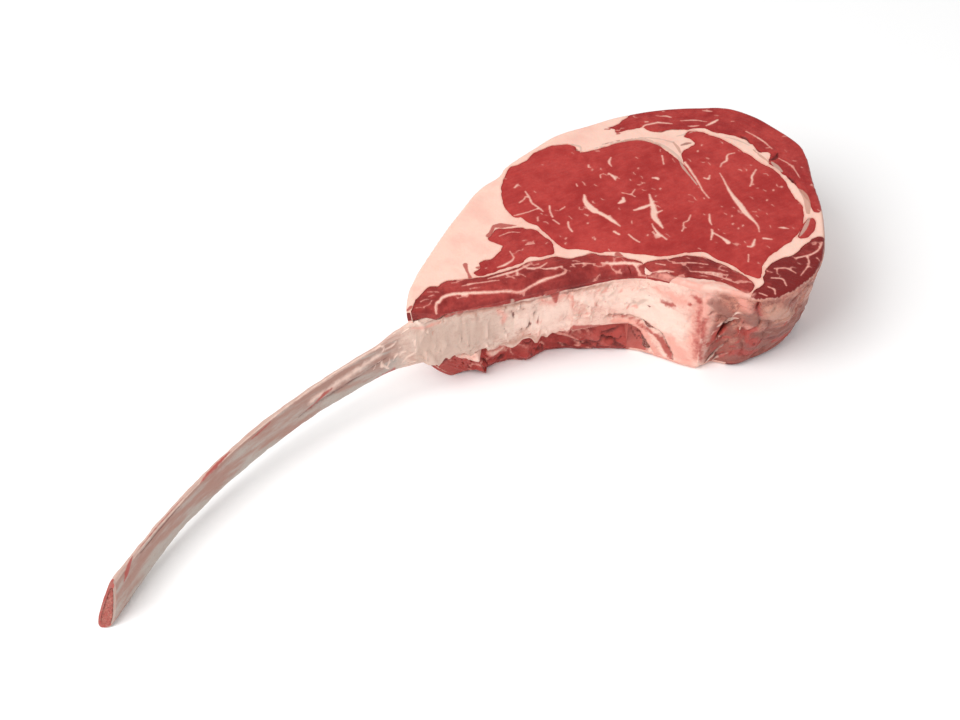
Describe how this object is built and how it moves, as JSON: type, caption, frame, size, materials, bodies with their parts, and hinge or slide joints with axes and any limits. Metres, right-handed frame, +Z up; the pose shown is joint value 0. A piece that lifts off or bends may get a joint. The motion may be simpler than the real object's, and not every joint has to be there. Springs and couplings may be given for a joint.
{
  "type": "raw tomahawk steak",
  "caption": "Thick raw rib steak lying flat on its cut face, with a round eye muscle, fat cover and a long bare curved rib bone as a handle.",
  "frame": {"origin": "on the flat lower face that the steak rests on, under the middle of the eye muscle", "axes": "+X along the steak away from the bare rib, +Y towards the fat cover, +Z up through the thickness"},
  "size_m": [0.419, 0.1552, 0.056],
  "materials": {
    "eye_meat": "moist cut meat, bright red",
    "outer_meat": "moist cut meat, red",
    "dark_meat": "moist cut meat, dark red",
    "fat": "firm pinkish white fat",
    "pale_fat": "pale fat and membrane with pink stains",
    "bone": "bare grey-pink bone, slightly moist",
    "marrow": "red spongy marrow"
  },
  "bodies": {
    "root": {"eye_lean": "eye_meat", "cap_lean": "outer_meat", "tail_lean": "outer_meat", "rib_lean": "dark_meat", "intercostal_lean": "dark_meat", "inner_lean": "dark_meat", "end_lean": "dark_meat", "side_lean": "outer_meat", "cover_fat": "fat", "chine_fat": "pale_fat", "rib_bone": "bone", "marrow": "marrow"}
  },
  "joints": []
}
